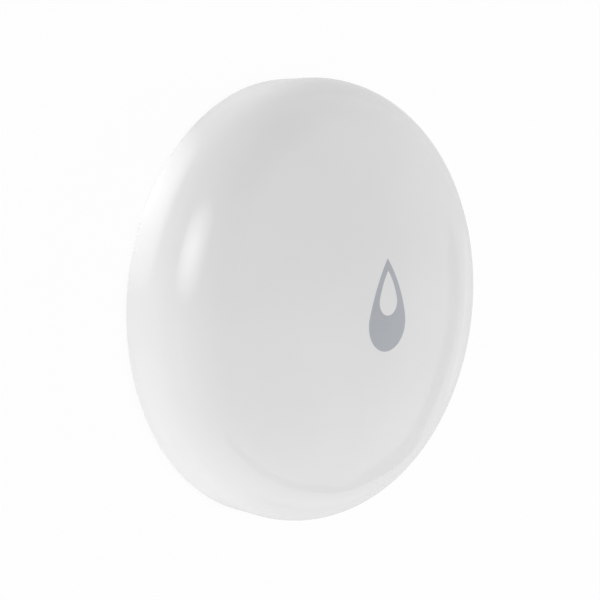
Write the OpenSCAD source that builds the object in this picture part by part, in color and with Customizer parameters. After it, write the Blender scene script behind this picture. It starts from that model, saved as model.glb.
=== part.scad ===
// Round water leak sensor that lies on the floor.
// A domed front shell slides a little over a sealed base and works a push switch when it is pressed.
// The frame has its origin on the floor under the centre, with +Z up and the drop's point towards +Y.

/* [Body] */
// Outer diameter of the body
body_d = 50; // [49:0.5:70]
// Height from the floor to the top of the dome
body_h = 15; // [14:0.5:20]
// Radius of the shoulder between the side and the dome
shoulder_r = 7.5; // [6.5:0.1:8.5]
// Height of the shoulder's centre above the floor
shoulder_z = 4.2; // [3.8:0.1:5]
// Angle by which the side leans in towards the floor
side_draft = 1.5; // [0.5:0.1:3]
// Wall of the front shell's dome
shell_wall = 1.6; // [1.2:0.1:2]
// Extra thickness of the shell's skirt, where the seal runs
skirt_extra = 0.4; // [0.2:0.1:0.8]
// Thickness of the lip at the skirt's foot, which hides the base's rim
lip_t = 0.8; // [0.6:0.1:1]
// Chamfer that breaks the lip's lower edge
edge_break = 0.15; // [0.05:0.05:0.3]

/* [Drop figure] */
// Width of the drop
drop_w = 6.2; // [4:0.1:8]
// Height of the drop's point above the centre of its round end
drop_point = 7.1; // [5.5:0.1:9]
// Radius of the drop's long sides
drop_side_r = 17.4; // [12:0.1:30]
// Distance of the round end's centre below the middle of the face
drop_low = 1.67; // [0:0.01:3]
// Size of the open inner drop as a share of the outer one
drop_open = 0.48; // [0.3:0.01:0.6]
// Distance between the centres of the two round ends
drop_open_rise = 2.35; // [1.5:0.05:2.8]
// Depth of the coloured inlay
drop_depth = 0.3; // [0.1:0.05:0.6]

/* [Front shell inside] */
// Thickness of the ribs under the dome
rib_t = 0.9; // [0.6:0.1:1.2]
// Depth of the ribs below the dome's inner face
rib_depth = 1.2; // [0.6:0.1:2]
// Number of ribs
rib_count = 6; // [4:1:8]
// Radius of the post that presses the switch
post_r = 1.6; // [1.2:0.1:2.2]
// Bore of the tube that guides the lamp's light
light_tube_d = 3.2; // [2.8:0.1:4]
// Wall of that tube
light_tube_wall = 0.8; // [0.6:0.1:1.2]
// Thickness of the dome left over the lamp
light_skin = 0.7; // [0.5:0.1:1]

/* [Press] */
// Travel of the front shell when it is pressed
press_travel = 0.2; // [0.1:0.05:0.4]
// Space left under the shell at the end of its travel
press_spare = 0.05; // [0.05:0.05:0.2]
// Thickness of a snap hook's arm
hook_t = 1; // [0.8:0.1:1.2]
// Width of a snap hook as an angle about the centre
hook_angle = 18; // [12:1:22]
// How far a hook's barb stands out from its arm
barb_reach = 0.9; // [0.7:0.1:1.1]
// Height of a hook's barb
barb_h = 1.2; // [1:0.1:1.5]
// Play between a barb and the edge that it catches under
hook_play = 0.05; // [0.03:0.01:0.1]

/* [Base] */
// Height of the feet under the base
foot_h = 0.4; // [0.3:0.1:0.8]
// Diameter of a foot
foot_d = 3; // [2:0.1:4]
// Thickness of the base's rim, which stops the pressed shell
rim_t = 0.6; // [0.4:0.1:1]
// Thickness of the base's floor
floor_t = 1.6; // [1.2:0.1:2]
// Radial clearance between the base and the front shell
slide_clear = 0.2; // [0.1:0.05:0.3]
// Wall behind the case seal's groove
spigot_wall = 1.2; // [1:0.1:1.3]
// Height of the solid bands above and below the groove
spigot_band = 0.8; // [0.6:0.1:1]
// Chamfer that leads the seal into the shell
lead_in = 0.6; // [0.4:0.1:0.8]

/* [Seals] */
// Section diameter of the case seal
case_seal_d = 1.4; // [1:0.1:1.6]
// Section diameter of the battery door's seal
door_seal_d = 1; // [0.8:0.1:1.1]
// Section diameter of a probe's seal
probe_seal_d = 0.8; // [0.6:0.1:0.9]
// Clearance at a seal's faces
seal_clear = 0.04; // [0.02:0.01:0.08]
// Space for a seal to spread sideways in its groove
seal_spread = 0.2; // [0.1:0.05:0.3]

/* [Battery and door] */
// Diameter of the coin cell
cell_d = 20; // [16:0.5:20.5]
// Height of the coin cell
cell_h = 3.2; // [2.5:0.1:3.8]
// Sheet thickness of the cell's can and cap
cell_sheet = 0.25; // [0.2:0.01:0.3]
// Clearance round the cell
cell_clear = 0.3; // [0.2:0.05:0.4]
// Thickness of the door's flange
door_flange_t = 1.1; // [0.9:0.1:1.4]
// Thickness of the door's middle
door_floor_t = 1.7; // [1.5:0.1:2]
// Wall of the door's neck
door_neck_t = 0.7; // [0.6:0.1:0.8]
// Running clearance of the neck in the base
door_clear = 0.08; // [0.05:0.01:0.1]
// How far a locking lug stands out from the neck
lug_reach = 1; // [0.8:0.1:1.1]
// Height of a locking lug
lug_h = 0.9; // [0.7:0.1:1.1]
// Width of a locking lug as an angle
lug_angle = 24; // [16:1:28]
// Turn that unlocks the door
unlock_turn = 30; // [30:1:45]
// Width of the coin slot
coin_slot_w = 1.9; // [1.5:0.1:2.4]
// Depth of the coin slot
coin_slot_depth = 1; // [0.7:0.1:1.1]
// Radius of the coin that the slot is shaped for
coin_r = 11; // [9:0.5:13]

/* [Board] */
// Thickness of the circuit board
board_t = 1; // [0.8:0.1:1.2]
// Distance of the board's edge inside the shell's bore
board_margin = 2; // [1.8:0.1:2.6]
// Space between the cell and the board for the spring contact
contact_space = 1.5; // [1.2:0.1:1.8]
// Sheet thickness of the battery contacts
contact_t = 0.25; // [0.2:0.01:0.3]
// Diameter of a board screw's shank
board_screw_d = 1.9; // [1.6:0.1:2.2]
// Length of a board screw's shank
board_screw_l = 5; // [4:0.1:5.4]
// Wall of a board boss
boss_wall = 1; // [0.8:0.1:1.1]

/* [Probes] */
// Diameter of a probe screw's shank
probe_d = 2.4; // [2:0.1:2.6]
// Diameter of a probe screw's head
probe_head_d = 4.6; // [4:0.1:4.8]
// Thickness of a probe screw's head
probe_head_h = 1; // [0.8:0.1:1.2]
// Height of a probe's face above the floor
probe_face_z = 0.15; // [0.1:0.05:0.3]
// Width of a brass standoff across its corners
standoff_d = 4.4; // [4.2:0.1:4.8]

/* [Switch and small parts] */
// Width of the push switch
switch_w = 5.2; // [4.5:0.1:6.2]
// Height of the switch's moulded base
switch_base_h = 0.9; // [0.8:0.1:1.5]
// Diameter of the switch's plunger
plunger_d = 2; // [1.6:0.1:2.4]
// Height of the plunger above the switch's cover
plunger_up = 0.6; // [0.5:0.1:1]
// Width of the radio chip
radio_w = 6; // [4:0.5:7]
// Height of the radio chip
radio_h = 0.85; // [0.7:0.05:1.1]

/* [Hidden] */
$fn = 120;

// Overlap by which a cutting shape runs past the face that it cuts
past = 0.5;
// Gap between pieces of one body that sit on each other
seat = 0.03;
// Amount by which an arc crosses the line or arc that it runs on from
blend = 0.001;
// Facets of the crown's large circle
crown_fn = 360;

// Dome: the crown's arc runs on from the shoulder's arc without a kink
body_r = body_d / 2;
shoulder_at = body_r - shoulder_r;
shoulder_rise = body_h - shoulder_z;
crown_r = (pow(shoulder_at, 2) + pow(shoulder_rise, 2) - pow(shoulder_r, 2))
    / (2 * (shoulder_rise - shoulder_r));
crown_slope = asin(shoulder_at / (crown_r - shoulder_r));
function side_r(z) = shoulder_at + shoulder_r * cos(side_draft)
    - (shoulder_z - shoulder_r * sin(side_draft) - z) * tan(side_draft);
function dome_z(r, inset) = body_h - crown_r + sqrt(pow(crown_r - inset, 2) - r * r);

// Base and shell: heights and radii that they share
rim_top = foot_h + rim_t;
skirt_r = side_r(foot_h);
lip_r = skirt_r - lip_t;
rim_r = lip_r - slide_clear;
floor_top = foot_h + floor_t;
shell_low = rim_top + press_travel + press_spare;
bore_r = body_r - shell_wall - skirt_extra;
spigot_r = bore_r - slide_clear;
case_seal_r = bore_r - seal_clear - case_seal_d / 2;
groove_r = case_seal_r - case_seal_d / 2 - seal_clear;
groove_w = case_seal_d + seal_spread;
groove_low = rim_top + spigot_band;
groove_mid = groove_low + groove_w / 2;
spigot_in = groove_r - spigot_wall;

// Snap hooks: arms of the shell inside the spigot, barbs in its windows
hook_count = 3;
hook_first = 30;
hook_gap = 0.3;
hook_r = spigot_in - hook_gap;
barb_nose = barb_h / 3;
window_low = groove_low + groove_w + hook_gap;
hook_end = window_low + press_travel + hook_gap;
barb_top = hook_end + barb_h;
window_top = barb_top + hook_play;
spigot_top = window_top + spigot_band;
hook_room = 4;
window_angle = hook_angle + hook_room;

// Battery and door, from the cell outwards and from the floor upwards
cell_r = cell_d / 2;
neck_in = cell_r + cell_clear;
neck_r = neck_in + door_neck_t;
neck_bore = neck_r + door_clear;
lug_r = neck_r + lug_reach;
lug_room = lug_r + 2 * door_clear;
door_land = 0.6;
door_groove_in = lug_room + door_land;
door_groove_out = door_groove_in + door_seal_d + seal_spread;
door_seal_r = (door_groove_in + door_groove_out) / 2;
flange_r = door_groove_out + door_land;
recess_r = flange_r + 2 * door_clear;
mark_gap = 1;
flange_top = foot_h + door_flange_t;
recess_top = flange_top + door_clear;
door_seal_z = flange_top + seal_clear + door_seal_d / 2;
door_groove_top = door_seal_z + door_seal_d / 2 + seal_clear;
cell_low = foot_h + door_floor_t + seat;
cell_top = cell_low + cell_h;
lug_low = foot_h + door_floor_t + door_land;
lug_top = lug_low + lug_h;
ledge_top = lug_low - door_clear;
lug_roof = lug_top + 2 * door_clear;
entry_roof = lug_roof + door_clear / 2;
neck_roof = lug_roof + door_clear;
lug_count = 3;
chamber_in = cell_r + 2 * cell_clear;
chamber_wall = 1.2;
chamber_r = lug_room + chamber_wall;
chamber_top = cell_top - cell_clear;
seal_boss_r = door_groove_out + door_land;
seal_boss_top = door_groove_top + door_land;
cell_guide_w = 1.2;
cell_corner = 0.5;
cell_step = 0.35;
cell_lip = 0.9;
gasket_t = 0.3;
contact_w = 4;
contact_bend = 0.6;
contact_foot = 3.6;

// Board, carried on bosses and on the probes' standoffs
board_z = cell_top + contact_space;
board_top = board_z + board_t;
board_r = bore_r - board_margin;
boss_count = 3;
boss_first = 90;
pilot_d = board_screw_d + 2 * seal_clear;
boss_r = pilot_d / 2 + boss_wall;
boss_at = seal_boss_r + boss_r + seal_spread;
board_head_d = 2 * board_screw_d;
board_head_h = 2 * board_screw_d / 3;
board_gap = 0.4;
notch_in = hook_r - hook_t - board_gap;
notch_angle = window_angle + hook_room;

// Probes, between the door's recess and the spigot
standoff_r = standoff_d / 2;
probe_at = spigot_in - standoff_r - seal_spread / 2;
probe_seat = probe_face_z + probe_head_h + 2 * seal_clear + probe_seal_d;
probe_boss_top = probe_seat + spigot_band;
probe_bore = probe_d / 2 + seal_spread / 2;
probe_recess_r = probe_head_d / 2 + seal_spread;
probe_seal_r = (probe_d + probe_seal_d) / 2 + seal_clear;
probe_end = board_z - contact_space / 2;
standoff_bore = probe_d / 2 + seal_clear;
standoff_lip = 0.5;
standoff_neck = standoff_bore + standoff_lip;
foot_count = 4;
foot_first = 45;
foot_at = (spigot_in + recess_r) / 2 + foot_d / 2;

// Switch under the middle of the dome, pressed by the shell's post
switch_cover_t = 0.15;
switch_cover_z = board_top + switch_base_h;
switch_top = switch_cover_z + switch_cover_t;
plunger_top = switch_top + plunger_up;
plunger_flange_t = 0.25;
plunger_lip = 0.4;
plunger_flange_r = plunger_d / 2 + plunger_lip;
plunger_flange_top = switch_cover_z - seat;
plunger_low = plunger_flange_top - plunger_flange_t;
switch_well_low = plunger_low - press_travel - seat;
terminal_w = 0.7;
terminal_l = 0.8;
terminal_t = 0.15;

// Lamp and its light tube
led_at = 8.2;
led_l = 2;
led_w = 1.25;
led_h = 0.8;
light_gap = 0.4;
light_tube_low = board_top + led_h + light_gap + press_travel;
light_tube_r = light_tube_d / 2;

// Small parts on the board
crystal_l = 3.2;
crystal_w = 2.5;
crystal_h = 0.7;
radio_at = [9, 4.2];
crystal_at = [9, -3];
chip_l = 1.6;
chip_w = 0.8;
capacitor_h = 0.8;
resistor_h = 0.45;
chip_pitch = 2.2;
chip_rows = 3;
capacitors_at = [-6.6, 2.6];
resistors_at = [-6.6, -2.6];

// Colours
shell_white = [0.93, 0.93, 0.93];
base_white = [0.9, 0.9, 0.9];
drop_grey = [0.67, 0.68, 0.7];
seal_black = [0.12, 0.12, 0.13];
steel = [0.75, 0.76, 0.78];
nickel = [0.82, 0.81, 0.78];
brass = [0.8, 0.66, 0.35];
board_green = [0.1, 0.36, 0.2];
copper = [0.85, 0.55, 0.3];
chip_black = [0.1, 0.1, 0.11];
ceramic = [0.7, 0.58, 0.42];

// Disc of the crown's arc in a half section, set in by a wall
module crown_disc(inset) {
    translate([0, body_h - crown_r]) circle(crown_r - inset, $fn = crown_fn);
}

// Half section of the dome, set in by a wall, from a height below the shoulder upwards
module dome_section(inset, low) {
    arc_r = shoulder_r - inset;
    turn = [shoulder_at + arc_r * cos(side_draft), shoulder_z - arc_r * sin(side_draft)];
    lower_r = turn[0] - (turn[1] - low) * tan(side_draft);
    join_r = shoulder_at + arc_r * sin(crown_slope);
    intersection() {
        crown_disc(inset);
        translate([0, low]) square([join_r, body_h]);
    }
    intersection() {
        translate([shoulder_at, shoulder_z]) circle(arc_r + blend);
        translate([0, low]) square([body_d, body_h]);
    }
    polygon([[0, low], [lower_r, low], turn, [0, turn[1]]]);
}

// Copies of a child at equal angles
module around(count, first = 0) {
    for (i = [0 : count - 1]) rotate([0, 0, first + i * 360 / count]) children();
}

// Ring sector with a half section, centred on the +X axis
module sector(angle) {
    rotate([0, 0, -angle / 2]) rotate_extrude(angle = angle) children();
}

// Round ring seal lying flat
module ring_seal(r, z, d) {
    translate([0, 0, z]) rotate_extrude() translate([r, 0]) circle(d = d, $fn = 32);
}

// Outline of a water drop about the centre of its round end
module drop_outline(round_r, point, long_r) {
    side_low = (pow(point, 2) - 2 * long_r * round_r + pow(round_r, 2)) / (2 * point);
    side_off = sqrt(pow(long_r - round_r, 2) - pow(side_low, 2));
    join = -side_low * round_r / (long_r - round_r);
    intersection() {
        translate([-side_off, side_low]) circle(long_r);
        translate([side_off, side_low]) circle(long_r);
        translate([-long_r, join]) square(2 * long_r);
    }
    circle(round_r + blend);
}

// The drop figure: a large drop with a smaller one left open inside
module drop_figure() {
    round_r = drop_w / 2;
    translate([0, -drop_low]) difference() {
        drop_outline(round_r, drop_point, drop_side_r);
        translate([0, drop_open_rise])
            drop_outline(drop_open * round_r, drop_open * drop_point, drop_open * drop_side_r);
    }
}

// Round plug under the drop figure, with the crown's curve set in by a depth as its top
module crown_plug(inset) {
    plug_r = drop_w + drop_point;
    rotate_extrude() intersection() {
        crown_disc(inset);
        translate([0, board_top]) square([plug_r, body_h]);
    }
}

// Block of the drop figure that reaches down to the inlay's depth
module drop_block() {
    difference() {
        translate([0, 0, dome_z(drop_w + drop_low, 2 * drop_depth)])
            linear_extrude(body_h) drop_figure();
        crown_plug(drop_depth);
    }
}

// Ribs under the dome, between the press post and the shoulder
module shell_ribs() {
    rib_in = post_r / 2;
    rib_out = shoulder_at - hook_t;
    around(rib_count) translate([0, rib_t / 2, 0]) rotate([90, 0, 0])
        linear_extrude(rib_t) difference() {
            intersection() {
                crown_disc(shell_wall / 2);
                translate([rib_in, shoulder_z]) square([rib_out - rib_in, body_h]);
            }
            crown_disc(shell_wall + rib_depth);
        }
}

// Post that reaches down to the switch
module press_post() {
    post_low = plunger_top + seat;
    translate([0, 0, post_low]) cylinder(r = post_r, h = body_h - shell_wall / 2 - post_low);
}

// Tube above the lamp, before its bore
module light_tube() {
    tube_r = light_tube_r + light_tube_wall;
    tube_top = dome_z(led_at - tube_r, shell_wall) + shell_wall / 4;
    translate([0, -led_at, light_tube_low]) cylinder(r = tube_r, h = tube_top - light_tube_low);
}

// Bore of that tube, which also thins the dome over the lamp
module light_pocket() {
    pocket_low = light_tube_low - past;
    pocket_top = dome_z(led_at + light_tube_r, light_skin);
    translate([0, -led_at, pocket_low]) cylinder(r = light_tube_r, h = pocket_top - pocket_low);
}

// One snap hook, hanging from the shoulder
module snap_hook() {
    arm_in = hook_r - hook_t;
    nose_r = hook_r + barb_reach;
    arm_top = shoulder_z + shell_wall / 4
        + sqrt(pow(shoulder_r - shell_wall, 2) - pow(arm_in - shoulder_at, 2));
    sector(hook_angle) polygon([
        [arm_in, hook_end], [hook_r, hook_end], [nose_r, barb_top - barb_nose],
        [nose_r, barb_top], [hook_r, barb_top], [hook_r, arm_top], [arm_in, arm_top]]);
}

// Domed cover with its ribs, press post, light tube and snap hooks
module front_shell() {
    color(shell_white) difference() {
        union() {
            rotate_extrude() difference() {
                dome_section(0, foot_h);
                intersection() {
                    dome_section(shell_wall, shell_low - past);
                    translate([0, shell_low - past]) square([bore_r, body_h]);
                }
                square_ring(0, lip_r, foot_h - past, shell_low);
                polygon([[skirt_r - edge_break - past, foot_h - past], [skirt_r + past, foot_h - past],
                    [skirt_r + past, foot_h + edge_break + past]]);
            }
            shell_ribs();
            press_post();
            light_tube();
            around(hook_count, hook_first) snap_hook();
        }
        light_pocket();
        drop_block();
    }
}

// Coloured inlay, flush with the dome
module drop_symbol() {
    color(drop_grey) intersection() {
        drop_block();
        crown_plug(0);
    }
}

// Half section of the base before its bosses and holes
module base_section() {
    difference() {
        union() {
            square_ring(0, rim_r, foot_h, rim_top);
            square_ring(0, spigot_r, foot_h, floor_top);
            square_ring(spigot_in, spigot_r, rim_top, spigot_top);
            square_ring(0, chamber_r, floor_top, chamber_top);
            square_ring(0, seal_boss_r, floor_top, seal_boss_top);
        }
        square_ring(groove_r, spigot_r + past, groove_low, groove_low + groove_w);
        polygon([[spigot_r - lead_in, spigot_top], [spigot_r + past, spigot_top],
            [spigot_r + past, spigot_top - lead_in], [spigot_r, spigot_top - lead_in]]);
        square_ring(0, recess_r, 0, recess_top);
        square_ring(door_groove_in, door_groove_out, 0, door_groove_top);
        square_ring(0, neck_bore, 0, neck_roof);
        square_ring(0, chamber_in, 0, body_h);
    }
}

// Rectangle between two radii and two heights in a half section
module square_ring(r_in, r_out, low, high) {
    translate([r_in, low]) square([r_out - r_in, high - low]);
}

// Slots that take the door's lugs: a way in from below, and a way round to the locked place
module lug_slots() {
    slot_play = 2;
    slot_angle = lug_angle + slot_play;
    entry_room = lug_room + door_clear;
    around(lug_count) {
        rotate([0, 0, -unlock_turn]) sector(slot_angle)
            square_ring(cell_r, entry_room, recess_top - past, entry_roof);
        rotate([0, 0, (slot_angle / 2 - unlock_turn) / 2]) sector(slot_angle / 2 + unlock_turn)
            square_ring(cell_r, lug_room, ledge_top, lug_roof);
    }
}

// Posts that carry the board
module board_bosses() {
    around(boss_count, boss_first) translate([boss_at, 0, floor_top - past])
        cylinder(r = boss_r, h = board_z - floor_top + past);
}

// Pilot holes in those posts
module boss_pilots() {
    pilot_low = board_top - board_screw_l - seal_spread;
    around(boss_count, boss_first) translate([boss_at, 0, pilot_low])
        cylinder(d = pilot_d, h = board_top - pilot_low);
}

// Ribs that centre the cell in its chamber
module cell_guides() {
    guide_count = 4;
    guide_first = 45;
    guide_low = lug_roof + door_land;
    around(guide_count, guide_first) translate([cell_r + cell_clear / 2, -cell_guide_w / 2, guide_low])
        cube([chamber_in - cell_r, cell_guide_w, chamber_top - guide_low]);
}

// Holes and seats of the two probes
module probe_holes() {
    around(2) translate([probe_at, 0, 0]) {
        cylinder(r = probe_recess_r, h = probe_seat);
        cylinder(r = probe_bore, h = board_z);
    }
}

// Notch in the chamber's wall for the side contact
module contact_notch() {
    translate([-chamber_r - past, -contact_w / 2 - cell_clear, lug_roof])
        cube([chamber_r + past - cell_r, contact_w + 2 * cell_clear, board_z]);
}

// Small dots that show where the door locks and unlocks
module turn_mark(r) {
    dot_r = 0.5;
    dot_depth = 0.2;
    translate([0, -r, foot_h - past]) cylinder(r = dot_r, h = past + dot_depth);
}

// Base with its sealed spigot, battery chamber, bosses and feet
module base_plate() {
    mark_at = recess_r + mark_gap;
    color(base_white) difference() {
        union() {
            rotate_extrude() base_section();
            board_bosses();
            cell_guides();
            around(2) translate([probe_at, 0, floor_top - past])
                cylinder(r = probe_recess_r + door_land, h = probe_boss_top - floor_top + past);
            around(foot_count, foot_first) translate([foot_at, 0, 0])
                cylinder(d = foot_d, h = foot_h + past);
        }
        lug_slots();
        boss_pilots();
        probe_holes();
        contact_notch();
        around(hook_count, hook_first) sector(window_angle)
            square_ring(spigot_in - past, spigot_r + past, window_low, window_top);
        turn_mark(mark_at);
        rotate([0, 0, -unlock_turn]) turn_mark(mark_at);
    }
}

// Ring seal between base and shell
module case_seal() {
    color(seal_black) ring_seal(case_seal_r, groove_mid, case_seal_d);
}

// Bayonet door with a coin slot
module battery_door() {
    color(base_white) difference() {
        union() {
            rotate_extrude() {
                square_ring(0, flange_r, foot_h, flange_top);
                square_ring(0, neck_r, foot_h, foot_h + door_floor_t);
                square_ring(neck_in, neck_r, foot_h, lug_top);
            }
            around(lug_count) sector(lug_angle)
                square_ring(neck_r - door_neck_t / 2, lug_r, lug_low, lug_top);
        }
        translate([0, coin_slot_w / 2, foot_h + coin_slot_depth - coin_r]) rotate([90, 0, 0])
            cylinder(r = coin_r, h = coin_slot_w);
        turn_mark(flange_r - mark_gap);
    }
}

// Ring seal between door and base
module door_seal() {
    color(seal_black) ring_seal(door_seal_r, door_seal_z, door_seal_d);
}

// Coin cell: the can is the positive pole and faces the door
module cell_can() {
    rim_z = cell_top - cell_step;
    inner_r = cell_r - cell_sheet;
    corner = [cell_r - cell_corner, cell_low + cell_corner];
    color(steel) rotate_extrude() difference() {
        union() {
            square_ring(0, cell_r - cell_corner, cell_low, rim_z);
            square_ring(0, cell_r, cell_low + cell_corner, rim_z);
            translate(corner) circle(cell_corner, $fn = 48);
        }
        square_ring(0, inner_r, cell_low + cell_sheet + cell_corner, rim_z - cell_sheet);
        square_ring(0, cell_r - cell_corner, cell_low + cell_sheet, rim_z - cell_sheet);
        square_ring(0, cell_r - cell_lip, cell_low + cell_sheet, rim_z + past);
    }
}

// Insulating ring between can and cap
module cell_gasket() {
    out_r = cell_r - cell_lip - seat;
    color(chip_black) rotate_extrude()
        square_ring(out_r - gasket_t, out_r, cell_low + cell_sheet + seat, cell_top - cell_step / 2);
}

// Cap of the cell, the negative pole
module cell_cap() {
    cap_r = cell_r - cell_lip - 2 * seat - gasket_t;
    color(nickel) rotate_extrude() difference() {
        square_ring(0, cap_r, cell_low + cell_sheet + seat, cell_top);
        square_ring(0, cap_r - cell_sheet, 0, cell_top - cell_sheet);
    }
}

// Side contact on the can, soldered under the board
module positive_contact() {
    touch = cell_r + seat;
    low = lug_roof + cell_clear;
    high = board_z - seat;
    turn = [touch + contact_bend + contact_t, high - contact_bend - contact_t];
    color(nickel) rotate([90, 0, 180]) translate([0, 0, -contact_w / 2]) linear_extrude(contact_w) {
        translate([touch, low]) square([contact_t, turn[1] - low]);
        translate([turn[0], high - contact_t]) square([contact_foot, contact_t]);
        intersection() {
            difference() {
                translate(turn) circle(contact_bend + contact_t, $fn = 48);
                translate(turn) circle(contact_bend, $fn = 48);
            }
            translate([touch, turn[1]]) square(contact_bend + contact_t);
        }
    }
}

// Spring contact between the board and the cell's cap: a pad with two bent arms
module negative_contact() {
    arm_w = 1.8;
    pad_l = 4;
    arm_l = 5;
    tip_l = 1;
    high = board_z - seat;
    low = cell_top + seat;
    pad_low = high - contact_t;
    color(nickel) {
        translate([-pad_l, -contact_w / 2 - arm_w / 2, pad_low])
            cube([pad_l, contact_w + arm_w, contact_t]);
        for (side = [-1, 1]) translate([0, side * contact_w / 2 + arm_w / 2, 0]) rotate([90, 0, 0])
            linear_extrude(arm_w) polygon([
                [-contact_t, high], [0, high], [arm_l, low + contact_t],
                [arm_l + tip_l, low + 2 * contact_t], [arm_l + tip_l, low + contact_t],
                [arm_l, low], [0, pad_low], [-contact_t, pad_low]]);
    }
}

// Round board with notches for the hooks
module circuit_board() {
    hole_gap = 0.1;
    color(board_green) difference() {
        translate([0, 0, board_z]) cylinder(r = board_r, h = board_t);
        around(hook_count, hook_first) sector(notch_angle)
            square_ring(notch_in, board_r + past, board_z - past, board_top + past);
        around(boss_count, boss_first) translate([boss_at, 0, board_z - past])
            cylinder(r = board_screw_d / 2 + hole_gap, h = board_t + 2 * past);
        around(2) translate([probe_at, 0, board_z - past])
            cylinder(r = standoff_neck + seat, h = board_t + 2 * past);
    }
}

// Radio chip with its pin-one dimple
module radio_chip() {
    dimple_r = 0.3;
    dimple_depth = 0.1;
    dimple_at = radio_w / 2 - 3 * dimple_r;
    color(chip_black) translate([radio_at[0], radio_at[1], board_top]) difference() {
        translate([-radio_w / 2, -radio_w / 2, 0]) cube([radio_w, radio_w, radio_h]);
        translate([-dimple_at, dimple_at, radio_h - dimple_depth]) cylinder(r = dimple_r, h = past);
    }
}

// Crystal in its ceramic tray with a metal lid
module crystal() {
    tray_h = 0.5;
    tray_edge = 0.15;
    color(steel) translate([crystal_at[0], crystal_at[1], board_top]) {
        translate([-crystal_l / 2, -crystal_w / 2, 0]) cube([crystal_l, crystal_w, tray_h]);
        translate([tray_edge - crystal_l / 2, tray_edge - crystal_w / 2, 0])
            cube([crystal_l - 2 * tray_edge, crystal_w - 2 * tray_edge, crystal_h]);
    }
}

// Meandering copper track near the board's edge
module antenna() {
    track_w = 0.6;
    track_t = 0.1;
    first = 47;
    step = 5;
    fingers = 7;
    track_margin = 1;
    finger_l = 3.4;
    outer = board_r - track_margin;
    inner = outer - finger_l;
    color(copper) translate([0, 0, board_top]) {
        for (i = [0 : fingers - 1]) rotate([0, 0, first + i * step])
            translate([inner, -track_w / 2, 0]) cube([outer - inner, track_w, track_t]);
        for (i = [0 : fingers - 2]) rotate([0, 0, first + (i + 0.5) * step]) sector(step)
            translate([i % 2 == 0 ? outer - track_w : inner, 0]) square([track_w, track_t]);
    }
}

// One small chip part with its end caps
module chip_part(height) {
    cap_l = 0.35;
    cap_over = 0.04;
    translate([-chip_l / 2 + cap_l / 2, -chip_w / 2 + cap_over, 0])
        cube([chip_l - cap_l, chip_w - 2 * cap_over, height - cap_over]);
    for (end = [0, 1]) translate([end * (chip_l - cap_l) - chip_l / 2, -chip_w / 2, 0])
        cube([cap_l, chip_w, height]);
}

// Two columns of chip parts
module chip_group(corner, height, towards) {
    column_pitch = 1.5 * chip_pitch;
    for (column = [0, 1], row = [0 : chip_rows - 1])
        translate([corner[0] - column * column_pitch, corner[1] + towards * row * chip_pitch, board_top])
            chip_part(height);
}

// Capacitors, in ceramic
module chip_capacitors() {
    color(ceramic) chip_group(capacitors_at, capacitor_h, 1);
}

// Resistors, lower and dark
module chip_resistors() {
    color(chip_black) chip_group(resistors_at, resistor_h, -1);
}

// Lamp with its reflector cup
module indicator_led() {
    cup_r = 0.45;
    cup_depth = 0.3;
    color("white") translate([0, -led_at, board_top]) difference() {
        translate([-led_l / 2, -led_w / 2, 0]) cube([led_l, led_w, led_h]);
        translate([0, 0, led_h - cup_depth]) cylinder(r = cup_r, h = past);
    }
}

// Moulded base of the push switch, with the plunger's well
module switch_base() {
    well_r = plunger_flange_r + seat;
    color(chip_black) difference() {
        translate([-switch_w / 2, -switch_w / 2, board_top]) cube([switch_w, switch_w, switch_base_h]);
        translate([0, 0, switch_well_low]) cylinder(r = well_r, h = switch_base_h);
    }
}

// Steel cover plate of the switch
module switch_cover() {
    cover_edge = 0.1;
    cover_w = switch_w - 2 * cover_edge;
    color(steel) difference() {
        translate([-cover_w / 2, -cover_w / 2, switch_cover_z]) cube([cover_w, cover_w, switch_cover_t]);
        translate([0, 0, switch_cover_z - past]) cylinder(r = plunger_d / 2 + 2 * seat, h = 2 * past);
    }
}

// Plunger with the flange that keeps it under the cover
module switch_plunger() {
    color(chip_black) {
        translate([0, 0, plunger_low]) cylinder(r = plunger_flange_r, h = plunger_flange_t);
        translate([0, 0, plunger_low]) cylinder(d = plunger_d, h = plunger_top - plunger_low);
    }
}

// Four solder tabs of the switch
module switch_terminals() {
    tab_at = switch_w / 2 - terminal_w;
    tab_out = (switch_w + terminal_l) / 2;
    color(nickel) for (sx = [-1, 1], sy = [-1, 1])
        translate([sx * tab_out - terminal_l / 2, sy * tab_at - terminal_w / 2, board_top])
            cube([terminal_l, terminal_w, terminal_t]);
}

// Two probe screws with cross recesses, heads down
module probe_screws() {
    recess_w = 0.6;
    recess_l = 2.6;
    recess_depth = 0.6;
    rounding = 0.3;
    tip = 0.3;
    head_r = probe_head_d / 2;
    head_top = probe_face_z + probe_head_h;
    color(steel) around(2) translate([probe_at, 0, 0]) difference() {
        rotate_extrude() polygon([
            [0, probe_face_z], [head_r - rounding, probe_face_z], [head_r, probe_face_z + rounding],
            [head_r, head_top], [probe_d / 2, head_top], [probe_d / 2, probe_end - tip],
            [probe_d / 2 - tip, probe_end], [0, probe_end]]);
        for (turn = [45, 135]) rotate([0, 0, turn])
            translate([-recess_l / 2, -recess_w / 2, 0])
                cube([recess_l, recess_w, probe_face_z + recess_depth]);
    }
}

// Ring seals under the probe heads
module probe_seals() {
    z = probe_face_z + probe_head_h + seal_clear + probe_seal_d / 2;
    color(seal_black) around(2) translate([probe_at, 0, 0]) ring_seal(probe_seal_r, z, probe_seal_d);
}

// Brass standoffs between the base and the board
module probe_standoffs() {
    color(brass) around(2) translate([probe_at, 0, 0]) difference() {
        union() {
            translate([0, 0, probe_boss_top])
                cylinder(r = standoff_r, h = board_z - probe_boss_top, $fn = 6);
            translate([0, 0, board_z - past]) cylinder(r = standoff_neck, h = board_t + past);
        }
        translate([0, 0, probe_boss_top - past])
            cylinder(r = standoff_bore, h = board_top - probe_boss_top + 2 * past);
    }
}

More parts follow.
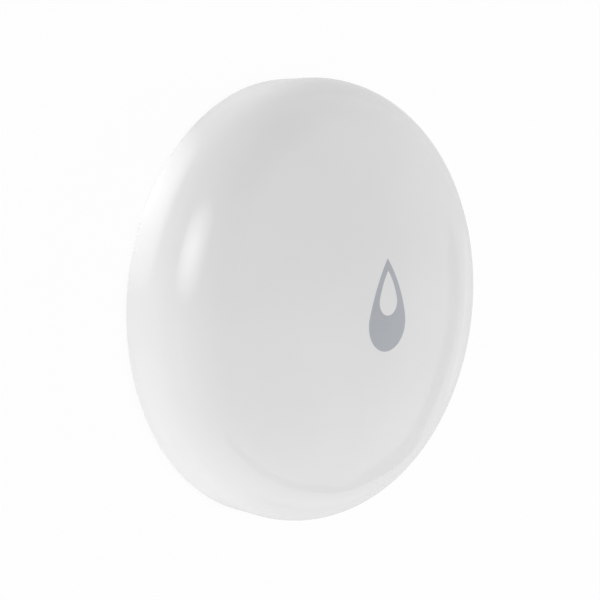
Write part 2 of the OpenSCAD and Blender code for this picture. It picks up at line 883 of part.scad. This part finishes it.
// Screws that hold the board on its bosses
module board_screws() {
    slot_w = 0.5;
    slot_l = 2.2;
    slot_depth = 0.6;
    head_top = board_top + board_head_h;
    color(steel) around(boss_count, boss_first) translate([boss_at, 0, 0]) difference() {
        union() {
            translate([0, 0, board_top]) cylinder(d = board_head_d, h = board_head_h);
            translate([0, 0, board_top - board_screw_l])
                cylinder(d = board_screw_d, h = board_screw_l + board_head_h / 2);
        }
        for (turn = [0, 90]) rotate([0, 0, turn])
            translate([-slot_l / 2, -slot_w / 2, head_top - slot_depth])
                cube([slot_l, slot_w, slot_depth + past]);
    }
}

front_shell();
drop_symbol();
base_plate();
case_seal();
battery_door();
door_seal();
cell_can();
cell_gasket();
cell_cap();
positive_contact();
negative_contact();
circuit_board();
radio_chip();
crystal();
antenna();
chip_capacitors();
chip_resistors();
indicator_led();
switch_base();
switch_cover();
switch_plunger();
switch_terminals();
probe_screws();
probe_seals();
probe_standoffs();
board_screws();
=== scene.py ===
import math
import bpy
from mathutils import Matrix, Vector


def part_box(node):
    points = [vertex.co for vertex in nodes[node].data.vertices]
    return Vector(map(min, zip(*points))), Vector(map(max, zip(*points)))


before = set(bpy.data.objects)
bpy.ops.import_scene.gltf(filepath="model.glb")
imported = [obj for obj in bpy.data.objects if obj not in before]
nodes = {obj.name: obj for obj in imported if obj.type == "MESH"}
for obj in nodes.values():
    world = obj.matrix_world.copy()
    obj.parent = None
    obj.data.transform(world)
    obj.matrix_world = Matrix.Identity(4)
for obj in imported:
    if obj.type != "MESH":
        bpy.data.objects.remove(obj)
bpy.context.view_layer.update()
scene = bpy.context.scene

MM = 0.001
WHITE = (1, 1, 1, 1)
BLACK = (0, 0, 0, 1)

# Camera, placed by the part's outline and the drop figure in the photo
PHOTO_SIDE = 600
FOCAL_PIXELS = 1527.82
SENSOR_WIDTH = 36
CLIP_NEAR = 0.01
CLIP_FAR = 20
CAMERA_TILT = math.radians(47.6669)
CAMERA_ROLL = math.radians(-6.2302)
CAMERA_SPIN = math.radians(7.8246)
CAMERA_SIDE = 4.0997 * MM
CAMERA_RISE = -0.2909 * MM
CAMERA_REACH = 170.944 * MM
AIM = Vector((0, 0, 7.5 * MM))

tilt_turn = Matrix.Rotation(CAMERA_TILT, 4, "Y")
roll_turn = Matrix.Rotation(CAMERA_ROLL, 4, "Z")
spin_turn = Matrix.Rotation(CAMERA_SPIN, 4, "Z")
picture_axes = (roll_turn @ tilt_turn @ spin_turn).transposed()

camera_data = bpy.data.cameras.new("camera")
camera_data.sensor_width = SENSOR_WIDTH
camera_data.lens = FOCAL_PIXELS / PHOTO_SIDE * SENSOR_WIDTH
camera_data.clip_start = CLIP_NEAR
camera_data.clip_end = CLIP_FAR
camera = bpy.data.objects.new("camera", camera_data)
camera_offset = Matrix.Translation((-CAMERA_SIDE, -CAMERA_RISE, CAMERA_REACH))
camera.matrix_world = Matrix.Translation(AIM) @ picture_axes @ camera_offset
scene.collection.objects.link(camera)
scene.camera = camera
scene.view_settings.view_transform = "Standard"

# Lamps: soft fills around the part, each with its azimuth and elevation in degrees and its radiance
FILL_RISE = 6
HIGH_RISE = 30
FILL_REACH = 0.6
FILL_SIZE = (0.4, 0.12)
FILLS = {
    "fill_top_right": {"way": (45, FILL_RISE), "radiance": 0.55},
    "fill_right": {"way": (0, FILL_RISE), "radiance": 1.82},
    "fill_low_right": {"way": (-55, FILL_RISE), "radiance": 2.94},
    "fill_low_left": {"way": (-155, FILL_RISE), "radiance": 3.88},
    "high_right": {"way": (0, HIGH_RISE), "radiance": 3.02},
    "high_low": {"way": (-80, HIGH_RISE), "radiance": 1.0},
}

# Short strips close to the floor, which stand for what the floor throws back on the part's wall
RIM_RISE = -11.5
RIM_REACH = 0.033
RIM_SIZE = (0.018, 0.001)
RIMS = {
    "rim_1": {"way": (111, RIM_RISE), "radiance": 3.06},
    "rim_2": {"way": (143, RIM_RISE), "radiance": 1.9},
    "rim_3": {"way": (174, RIM_RISE), "radiance": 1.56},
    "rim_4": {"way": (-155, RIM_RISE), "radiance": 1.64},
    "rim_5": {"way": (-126, RIM_RISE), "radiance": 1.61},
}

# Watts of an area lamp for each square metre and unit of radiance
AREA_POWER = 4


def facing(way, reach):
    """Place at an azimuth and elevation about the part, turned to face it."""
    azimuth, elevation = (math.radians(angle) for angle in way)
    flat = math.cos(elevation)
    away = Vector((flat * math.cos(azimuth), flat * math.sin(azimuth), math.sin(elevation)))
    return Matrix.Translation(AIM + away * reach) @ away.to_track_quat("Z", "Y").to_matrix().to_4x4()


def add_lamp(name, way, reach, size, radiance):
    """An area lamp that faces the part, out of reflections, its power set by its area and radiance."""
    data = bpy.data.lights.new(name, "AREA")
    data.shape = "RECTANGLE"
    data.size = size[0]
    data.size_y = size[1]
    data.energy = AREA_POWER * size[0] * size[1] * radiance
    lamp = bpy.data.objects.new(name, data)
    lamp.matrix_world = facing(way, reach)
    lamp.visible_camera = False
    lamp.visible_glossy = False
    scene.collection.objects.link(lamp)
    return lamp


for lamp_name, lamp_values in FILLS.items():
    add_lamp(lamp_name, reach=FILL_REACH, size=FILL_SIZE, **lamp_values)

# The strips light the part alone, so that they leave no mark on the floor
part_group = bpy.data.collections.new("part_group")
for node_object in nodes.values():
    part_group.objects.link(node_object)
for lamp_name, lamp_values in RIMS.items():
    rim = add_lamp(lamp_name, reach=RIM_REACH, size=RIM_SIZE, **lamp_values)
    rim.light_linking.receiver_collection = part_group


def add_card(name, rungs, level, fade_radius=None):
    """A strip of card between pairs of points, seen only in reflections, at one level of light.

    With a radius it fades out from its middle.
    """
    points = [point for rung in rungs for point in rung]
    faces = [(i, i + 2, i + 3, i + 1) for i in range(0, len(points) - 2, 2)]
    mesh = bpy.data.meshes.new(name)
    mesh.from_pydata(points, [], faces)
    card = bpy.data.objects.new(name, mesh)
    card.visible_camera = False
    card.visible_diffuse = False
    card.visible_shadow = False
    scene.collection.objects.link(card)
    material = bpy.data.materials.new(name)
    material.use_nodes = True
    mesh.materials.append(material)
    tree = material.node_tree
    paint = tree.nodes["Principled BSDF"]
    paint.inputs["Base Color"].default_value = BLACK
    paint.inputs["Specular IOR Level"].default_value = 0
    paint.inputs["Emission Color"].default_value = WHITE
    paint.inputs["Emission Strength"].default_value = level
    if fade_radius:
        place = tree.nodes.new("ShaderNodeTexCoord")
        scale = tree.nodes.new("ShaderNodeMapping")
        scale.inputs["Scale"].default_value = [1 / fade_radius] * 3
        fade = tree.nodes.new("ShaderNodeTexGradient")
        fade.gradient_type = "SPHERICAL"
        tree.links.new(place.outputs["Object"], scale.inputs["Vector"])
        tree.links.new(scale.outputs["Vector"], fade.inputs["Vector"])
        tree.links.new(fade.outputs["Fac"], paint.inputs["Alpha"])
    return card


def add_soft_card(name, radius, level):
    """A square card about its own middle that fades out towards its edges."""
    rungs = [[(x, y, 0) for y in (-radius, radius)] for x in (-radius, radius)]
    return add_card(name, rungs, level, radius)


# Soft box, for the spot on the shoulder
BOX_WAY = (155.5, 15.5)
BOX_REACH = 0.6
BOX_RADIUS = 0.267
BOX_LEVEL = 5.6

add_soft_card("soft_box", BOX_RADIUS, BOX_LEVEL).matrix_world = facing(BOX_WAY, BOX_REACH)

# Grey haze beyond the part and on the floor beside it, for its limb
HAZE_WAY = (-5, 3)
HAZE_REACH = 0.7
HAZE_RADIUS = 0.8
HAZE_LEVEL = 0.7
PATCH_PLACE = (0.10, 0, 0.0001)
PATCH_RADIUS = 0.4

add_soft_card("haze", HAZE_RADIUS, HAZE_LEVEL).matrix_world = facing(HAZE_WAY, HAZE_REACH)
add_soft_card("floor_haze", PATCH_RADIUS, HAZE_LEVEL).location = PATCH_PLACE

# Glint on the floor, for the bright edge at the upper left
GLINT_TURN = math.radians(152)
GLINT_AT = 0.0245
GLINT_Z = 0.0002
GLINT_WIDTH = 0.011
GLINT_DEPTH = 0.006
GLINT_LEVEL = 4.9

glint = add_soft_card("floor_glint", GLINT_WIDTH, GLINT_LEVEL)
glint_turn = Matrix.Rotation(GLINT_TURN, 4, "Z")
glint_scale = Matrix.Diagonal((GLINT_DEPTH / GLINT_WIDTH, 1, 1, 1))
glint.matrix_world = glint_turn @ Matrix.Translation((GLINT_AT, 0, GLINT_Z)) @ glint_scale

# Darker strip, for the fine line round the lower right of the face: X, Y, bottom and top at each station
STRIP_LEVEL = 0.5
STRIP_STATIONS = (
    (-0.12, -0.30, 0.140, 0.200),
    (0.25, -0.30, 0.140, 0.205),
    (0.60, -0.30, 0.075, 0.150),
    (0.60, -0.10, 0.045, 0.122),
    (0.60, 0.00, 0.050, 0.130),
    (0.60, 0.05, 0.090, 0.100),
)

strip_rungs = [((x, y, bottom), (x, y, top)) for x, y, bottom, top in STRIP_STATIONS]
add_card("strip", strip_rungs, STRIP_LEVEL)


def background_rays(tree):
    """A factor that is 1 for the rays that see the background: camera, glossy and transmitted ones."""
    path = tree.nodes.new("ShaderNodeLightPath")
    seen = path.outputs["Is Camera Ray"]
    for kind in ("Is Glossy Ray", "Is Transmission Ray"):
        either = tree.nodes.new("ShaderNodeMath")
        either.operation = "MAXIMUM"
        tree.links.new(seen, either.inputs[0])
        tree.links.new(path.outputs[kind], either.inputs[1])
        seen = either.outputs["Value"]
    return seen


# World: an even soft level on the part, white behind it and in reflections
WORLD_LEVEL = 0.71
WORLD_WHITE = 1

world = bpy.data.worlds.new("studio")
world.use_nodes = True
scene.world = world
world_tree = world.node_tree
sky = world_tree.nodes["Background"]
sky.inputs["Color"].default_value = WHITE
sky_level = world_tree.nodes.new("ShaderNodeMapRange")
sky_level.inputs["To Min"].default_value = WORLD_LEVEL
sky_level.inputs["To Max"].default_value = WORLD_WHITE
world_tree.links.new(background_rays(world_tree), sky_level.inputs["Value"])
world_tree.links.new(sky_level.outputs["Result"], sky.inputs["Strength"])

# Floor: a pale sheet, mostly its own white to the camera so that the shadow stays faint
FLOOR_SIDE = 4
FLOOR_COLOUR = (0.9, 0.9, 0.9, 1)
FLOOR_WHITE = 0.95

reach = FLOOR_SIDE / 2
floor_mesh = bpy.data.meshes.new("floor")
floor_corners = [(-reach, -reach, 0), (reach, -reach, 0), (reach, reach, 0), (-reach, reach, 0)]
floor_mesh.from_pydata(floor_corners, [], [(0, 1, 2, 3)])
floor = bpy.data.objects.new("floor", floor_mesh)
scene.collection.objects.link(floor)
floor_material = bpy.data.materials.new("floor")
floor_material.use_nodes = True
floor_tree = floor_material.node_tree
floor_tree.nodes.clear()
sheet = floor_tree.nodes.new("ShaderNodeBsdfDiffuse")
sheet.inputs["Color"].default_value = FLOOR_COLOUR
glow = floor_tree.nodes.new("ShaderNodeEmission")
share = floor_tree.nodes.new("ShaderNodeMath")
share.operation = "MULTIPLY"
share.inputs[1].default_value = FLOOR_WHITE
floor_mix = floor_tree.nodes.new("ShaderNodeMixShader")
floor_out = floor_tree.nodes.new("ShaderNodeOutputMaterial")
floor_tree.links.new(background_rays(floor_tree), share.inputs[0])
floor_tree.links.new(share.outputs["Value"], floor_mix.inputs["Fac"])
floor_tree.links.new(sheet.outputs["BSDF"], floor_mix.inputs[1])
floor_tree.links.new(glow.outputs["Emission"], floor_mix.inputs[2])
floor_tree.links.new(floor_mix.outputs["Shader"], floor_out.inputs["Surface"])
floor_mesh.materials.append(floor_material)

# Values that all finishes share: most of a noise lies between its low and its high value
SURFACE_IOR = 1.5
NOISE_LOW = 0.3
NOISE_HIGH = 0.7
WAVE_MIDDLE = 0.5
FULL_TURN = 2 * math.pi


class Finish:
    """A material being made: its shader, the place on the part and the nodes that vary it."""

    def __init__(self, name, metallic=0.0, coat=0.0):
        self.material = bpy.data.materials.new(name)
        self.material.use_nodes = True
        self.tree = self.material.node_tree
        self.tree.nodes.clear()
        self.shader = self.add("ShaderNodeBsdfPrincipled")
        self.shader.inputs["Metallic"].default_value = metallic
        self.shader.inputs["IOR"].default_value = SURFACE_IOR
        self.shader.inputs["Coat Weight"].default_value = coat
        output = self.add("ShaderNodeOutputMaterial")
        self.link(self.shader.outputs["BSDF"], output.inputs["Surface"])
        self.place = self.add("ShaderNodeTexCoord").outputs["Object"]
        self.normal = None

    def add(self, kind):
        """A new node of a kind."""
        return self.tree.nodes.new(kind)

    def link(self, source, target):
        """Joins an output to an input."""
        self.tree.links.new(source, target)

    def scaled(self, factors):
        """The place on the part scaled along each axis, which makes noise finer along it."""
        mapping = self.add("ShaderNodeMapping")
        mapping.inputs["Scale"].default_value = factors
        self.link(self.place, mapping.inputs["Vector"])
        return mapping.outputs["Vector"]

    def noise(self, grain, detail=2.0, place=None):
        """Cloudy noise whose spots are about one grain across, in metres."""
        made = self.add("ShaderNodeTexNoise")
        made.inputs["Scale"].default_value = 1 / grain
        made.inputs["Detail"].default_value = detail
        self.link(place or self.place, made.inputs["Vector"])
        return made.outputs["Fac"]

    def compute(self, operation, first, second=None):
        """The result of one operation on numbers or outputs."""
        made = self.add("ShaderNodeMath")
        made.operation = operation
        for value, socket in zip((first, second), made.inputs):
            if isinstance(value, (int, float)):
                socket.default_value = value
            elif value is not None:
                self.link(value, socket)
        return made.outputs["Value"]

    def part_axes(self):
        """The place on the part as its X, Y and Z."""
        split = self.add("ShaderNodeSeparateXYZ")
        self.link(self.place, split.inputs["Vector"])
        return split.outputs

    def wave(self, distance, pitch):
        """Even waves over a distance, 0 to 1."""
        turns = self.compute("MULTIPLY", distance, FULL_TURN / pitch)
        swing = self.compute("MULTIPLY", self.compute("SINE", turns), WAVE_MIDDLE)
        return self.compute("ADD", swing, WAVE_MIDDLE)

    def rings(self, centre_x, centre_y, pitch):
        """Turning marks: fine rings about two axes that mirror each other in X."""
        axes = self.part_axes()
        across = self.compute("SUBTRACT", self.compute("ABSOLUTE", axes["X"]), centre_x)
        along = self.compute("SUBTRACT", axes["Y"], centre_y)
        across_square = self.compute("MULTIPLY", across, across)
        along_square = self.compute("MULTIPLY", along, along)
        radius = self.compute("SQRT", self.compute("ADD", across_square, along_square))
        return self.wave(radius, pitch)

    def weave(self, pitch):
        """The bumps of a plain weave of threads along X and Y."""
        axes = self.part_axes()
        return self.compute("MULTIPLY", self.wave(axes["X"], pitch), self.wave(axes["Y"], pitch))

    def colour(self, factor, dark, light):
        """Base colour that runs from dark to light with a factor."""
        ramp = self.add("ShaderNodeValToRGB")
        ramp.color_ramp.elements[0].position = NOISE_LOW
        ramp.color_ramp.elements[0].color = (*dark, 1)
        ramp.color_ramp.elements[1].position = NOISE_HIGH
        ramp.color_ramp.elements[1].color = (*light, 1)
        self.link(factor, ramp.inputs["Fac"])
        self.link(ramp.outputs["Color"], self.shader.inputs["Base Color"])

    def roughness(self, factor, smooth, rough):
        """Roughness that runs from smooth to rough with a factor."""
        spread = self.add("ShaderNodeMapRange")
        spread.inputs["From Min"].default_value = NOISE_LOW
        spread.inputs["From Max"].default_value = NOISE_HIGH
        spread.inputs["To Min"].default_value = smooth
        spread.inputs["To Max"].default_value = rough
        self.link(factor, spread.inputs["Value"])
        self.link(spread.outputs["Result"], self.shader.inputs["Roughness"])

    def bump(self, height, depth):
        """Relief of a depth in metres, on top of any made before."""
        made = self.add("ShaderNodeBump")
        made.inputs["Strength"].default_value = 1
        made.inputs["Distance"].default_value = depth
        self.link(height, made.inputs["Height"])
        if self.normal:
            self.link(self.normal, made.inputs["Normal"])
        self.normal = made.outputs["Normal"]
        self.link(self.normal, self.shader.inputs["Normal"])


def gloss_shell():
    """Polished white moulding: a faint tone cloud and a fine orange peel."""
    made = Finish("shell_gloss")
    cloud = made.noise(grain=11 * MM)
    made.colour(cloud, dark=(0.795, 0.795, 0.797), light=(0.815, 0.815, 0.815))
    made.roughness(made.noise(grain=1.6 * MM), smooth=0.055, rough=0.08)
    made.bump(made.noise(grain=0.7 * MM, detail=1.0), depth=0.0004 * MM)
    return made.material


def drop_ink():
    """Grey satin inlay with a fine speckle."""
    made = Finish("drop_satin")
    speckle = made.noise(grain=0.12 * MM)
    made.colour(speckle, dark=(0.40, 0.42, 0.455), light=(0.43, 0.45, 0.485))
    made.roughness(made.noise(grain=0.4 * MM), smooth=0.30, rough=0.38)
    made.bump(made.noise(grain=0.1 * MM), depth=0.0008 * MM)
    return made.material


def satin_base(name, dark, light):
    """White moulding with the fine grain of a spark-eroded tool."""
    made = Finish(name)
    made.colour(made.noise(grain=6 * MM), dark, light)
    made.roughness(made.noise(grain=0.5 * MM), smooth=0.34, rough=0.46)
    made.bump(made.noise(grain=0.14 * MM, detail=3.0), depth=0.006 * MM)
    return made.material


def rubber(name):
    """Black seal rubber with a grey bloom."""
    made = Finish(name)
    bloom = made.noise(grain=0.9 * MM, detail=4.0)
    made.colour(bloom, dark=(0.022, 0.022, 0.023), light=(0.045, 0.045, 0.046))
    made.roughness(made.noise(grain=0.3 * MM), smooth=0.52, rough=0.68)
    made.bump(made.noise(grain=0.08 * MM), depth=0.003 * MM)
    return made.material


def drawn_metal(name, dark, light, draw, smooth, rough):
    """Metal with the fine lines that its drawing left."""
    made = Finish(name, metallic=1.0)
    lines = made.noise(grain=0.25 * MM, detail=3.0, place=made.scaled(draw))
    made.colour(lines, dark, light)
    made.roughness(made.noise(grain=1.2 * MM, detail=3.0), smooth, rough)
    made.bump(lines, depth=0.0008 * MM)
    return made.material


def turned_metal(name, dark, light, centre, pitch):
    """Turned metal with fine rings about the axes of a mirrored pair."""
    made = Finish(name, metallic=1.0)
    made.colour(made.noise(grain=0.8 * MM, detail=3.0), dark, light)
    made.roughness(made.noise(grain=0.3 * MM, detail=3.0), smooth=0.16, rough=0.28)
    made.bump(made.rings(*centre, pitch), depth=0.0012 * MM)
    return made.material


def moulding(name, dark, light, grain):
    """Dark moulding compound with a fine matt grain."""
    made = Finish(name)
    made.colour(made.noise(grain=5 * grain, detail=3.0), dark, light)
    made.roughness(made.noise(grain=2 * grain), smooth=0.42, rough=0.58)
    made.bump(made.noise(grain), depth=0.003 * MM)
    return made.material


def board():
    """Solder mask over woven glass, with the weave just showing through."""
    weave_share = 0.35
    made = Finish("board_mask", coat=0.25)
    weave = made.weave(pitch=0.55 * MM)
    cloud = made.noise(grain=4 * MM, detail=3.0)
    weave_tone = made.compute("MULTIPLY", weave, weave_share)
    cloud_tone = made.compute("MULTIPLY", cloud, 1 - weave_share)
    tone = made.compute("ADD", weave_tone, cloud_tone)
    made.colour(tone, dark=(0.022, 0.13, 0.048), light=(0.04, 0.19, 0.075))
    made.roughness(cloud, smooth=0.26, rough=0.38)
    made.bump(weave, depth=0.004 * MM)
    return made.material


def copper_track():
    """Copper with patches of tarnish."""
    made = Finish("copper_track", metallic=1.0)
    tarnish = made.noise(grain=1.1 * MM, detail=4.0)
    made.colour(tarnish, dark=(0.50, 0.24, 0.11), light=(0.76, 0.40, 0.20))
    made.roughness(made.noise(grain=0.4 * MM, detail=3.0), smooth=0.22, rough=0.40)
    made.bump(made.noise(grain=0.1 * MM), depth=0.001 * MM)
    return made.material


def fired_ceramic():
    """Speckled fired ceramic."""
    made = Finish("ceramic_fired")
    speckle = made.noise(grain=0.12 * MM, detail=4.0)
    made.colour(speckle, dark=(0.36, 0.23, 0.12), light=(0.52, 0.36, 0.22))
    made.roughness(made.noise(grain=0.2 * MM), smooth=0.32, rough=0.48)
    made.bump(made.noise(grain=0.06 * MM), depth=0.002 * MM)
    return made.material


def lamp_cup():
    """White reflector cup with warmer patches."""
    made = Finish("lamp_cup")
    patches = made.noise(grain=0.5 * MM)
    made.colour(patches, dark=(0.84, 0.78, 0.55), light=(0.86, 0.85, 0.80))
    made.roughness(made.noise(grain=0.2 * MM), smooth=0.16, rough=0.26)
    made.bump(made.noise(grain=0.1 * MM), depth=0.001 * MM)
    return made.material


def pair_axis(node):
    """Where the mirrored pair of round pieces in a node stands: X and Y of the one on the right."""
    low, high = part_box(node)
    radius = (high.y - low.y) / 2
    return high.x - radius, (low.y + high.y) / 2


# How the lines on drawn metal lie: they run across the axis whose factor is above 1
LINES_ALONG_X = (1, 30, 1)
LINES_ALONG_Y = (30, 1, 1)
RINGS_ABOUT_Z = (1, 1, 20)

# Finish of each node
seal_black = rubber("seal_rubber_bloom")
spring_nickel = drawn_metal(
    "contact_nickel", (0.58, 0.56, 0.52), (0.70, 0.68, 0.64), LINES_ALONG_X, smooth=0.16, rough=0.28)
FINISHES = {
    "front_shell": gloss_shell(),
    "drop_symbol": drop_ink(),
    "base_plate": satin_base("base_satin", (0.765, 0.765, 0.765), (0.79, 0.79, 0.79)),
    "battery_door": satin_base("door_satin", (0.75, 0.75, 0.752), (0.78, 0.78, 0.78)),
    "case_seal": seal_black,
    "door_seal": seal_black,
    "probe_seals": seal_black,
    "cell_can": drawn_metal(
        "can_steel", (0.52, 0.53, 0.55), (0.64, 0.65, 0.66), LINES_ALONG_X, smooth=0.20, rough=0.32),
    "cell_cap": drawn_metal(
        "cap_nickel", (0.58, 0.57, 0.54), (0.70, 0.68, 0.64), LINES_ALONG_Y, smooth=0.18, rough=0.30),
    "cell_gasket": moulding(
        "gasket_nylon", (0.02, 0.02, 0.022), (0.04, 0.04, 0.043), grain=0.10 * MM),
    "positive_contact": spring_nickel,
    "negative_contact": spring_nickel,
    "switch_terminals": spring_nickel,
    "circuit_board": board(),
    "radio_chip": moulding(
        "chip_epoxy", (0.018, 0.018, 0.020), (0.036, 0.036, 0.040), grain=0.06 * MM),
    "crystal": drawn_metal(
        "crystal_lid", (0.60, 0.60, 0.60), (0.72, 0.72, 0.71), LINES_ALONG_Y, smooth=0.14, rough=0.24),
    "antenna": copper_track(),
    "chip_capacitors": fired_ceramic(),
    "chip_resistors": moulding(
        "resistor_glaze", (0.016, 0.016, 0.018), (0.034, 0.034, 0.040), grain=0.05 * MM),
    "indicator_led": lamp_cup(),
    "switch_base": moulding(
        "switch_body", (0.020, 0.020, 0.022), (0.040, 0.040, 0.044), grain=0.08 * MM),
    "switch_cover": drawn_metal(
        "switch_sheet", (0.54, 0.55, 0.57), (0.66, 0.67, 0.68), LINES_ALONG_X, smooth=0.20, rough=0.32),
    "switch_plunger": moulding(
        "plunger_nylon", (0.022, 0.022, 0.024), (0.045, 0.045, 0.048), grain=0.07 * MM),
    "probe_screws": turned_metal(
        "probe_turned", (0.56, 0.57, 0.59), (0.68, 0.69, 0.70), pair_axis("probe_screws"), 0.12 * MM),
    "probe_standoffs": turned_metal(
        "brass_turned", (0.58, 0.39, 0.13), (0.72, 0.51, 0.21), pair_axis("probe_standoffs"), 0.15 * MM),
    "board_screws": drawn_metal(
        "screw_zinc", (0.55, 0.56, 0.58), (0.67, 0.68, 0.70), RINGS_ABOUT_Z, smooth=0.20, rough=0.34),
}

for node_name, node_object in nodes.items():
    for material_slot in node_object.material_slots:
        material_slot.material = FINISHES[node_name]
